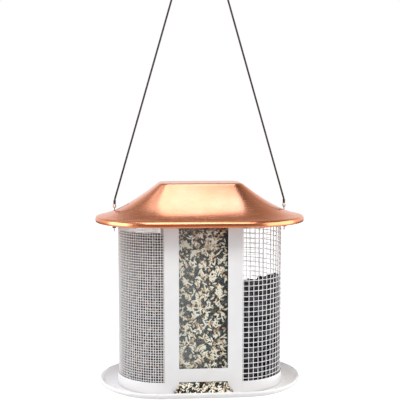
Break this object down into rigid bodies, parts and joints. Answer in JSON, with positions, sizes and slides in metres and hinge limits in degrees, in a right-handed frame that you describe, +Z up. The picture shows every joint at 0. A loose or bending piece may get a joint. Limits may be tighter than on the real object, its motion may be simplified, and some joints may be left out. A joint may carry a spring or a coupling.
{
  "type": "hanging bird feeder",
  "caption": "Hanging bird feeder with a flared copper roof that lifts on its cable, a fine and a coarse mesh end, glazed middle hopper with feeding ports, and an oval seed tray.",
  "frame": {"origin": "the point on the inside of the hook's upper bend that rests on what the feeder hangs from", "axes": "+Z up along the hanging line, +X along the feeder's long side towards the coarse mesh end, -Y towards the front of the picture"},
  "size_m": [0.262, 0.167, 0.5676],
  "materials": {
    "white_steel": "white powder coat on steel sheet and wire",
    "white_tray": "glossy white powder coat",
    "copper": null,
    "galvanised": "dull zinc plate",
    "bronze_wire": "dark bronze wire",
    "dark_cable": "dark brown coated steel wire rope",
    "steel_hook": "zinc plated steel wire",
    "clear_pane": "clear polycarbonate sheet",
    "nyjer": "loose black nyjer seed",
    "seed_mix": "loose mixed small seed",
    "sunflower": "loose black sunflower seed"
  },
  "bodies": {
    "hook": {"hanging_hook": "steel_hook"},
    "feeder": {"back_frame": "white_steel", "back_window": "clear_pane", "base_plate": "white_steel", "coarse_mesh": "white_steel", "fine_mesh": "white_steel", "front_frame": "white_steel", "front_window": "clear_pane", "hanger_cable": "dark_cable", "left_base_band": "white_steel", "left_cable_end": "dark_cable", "left_divider": "galvanised", "left_hanging_link": "bronze_wire", "left_hanging_lug": "bronze_wire", "left_lug_rivet": "galvanised", "left_top_band": "white_steel", "nyjer_fill": "nyjer", "right_base_band": "white_steel", "right_cable_end": "dark_cable", "right_divider": "galvanised", "right_hanging_link": "bronze_wire", "right_hanging_lug": "bronze_wire", "right_lug_rivet": "galvanised", "right_top_band": "white_steel", "seed_deflector": "galvanised", "seed_heap_back": "seed_mix", "seed_heap_front": "seed_mix", "seed_mix_fill": "seed_mix", "sunflower_fill": "sunflower", "tray": "white_tray", "tray_nut_1": "galvanised", "tray_nut_2": "galvanised", "tray_nut_3": "galvanised", "tray_nut_4": "galvanised", "tray_screw_1": "galvanised", "tray_screw_2": "galvanised", "tray_screw_3": "galvanised", "tray_screw_4": "galvanised"},
    "roof": {"roof": "copper"}
  },
  "joints": [
    {"name": "swing", "type": "hinge", "parent": "hook", "child": "feeder", "pos_m": [0, 0, -0.04025], "axis": [0, 1, 0], "range_deg": [-20, 20]},
    {"name": "roof_lift", "type": "slide", "parent": "feeder", "child": "roof", "axis": [0, 0, 1], "range_m": [0, 0.06]}
  ]
}
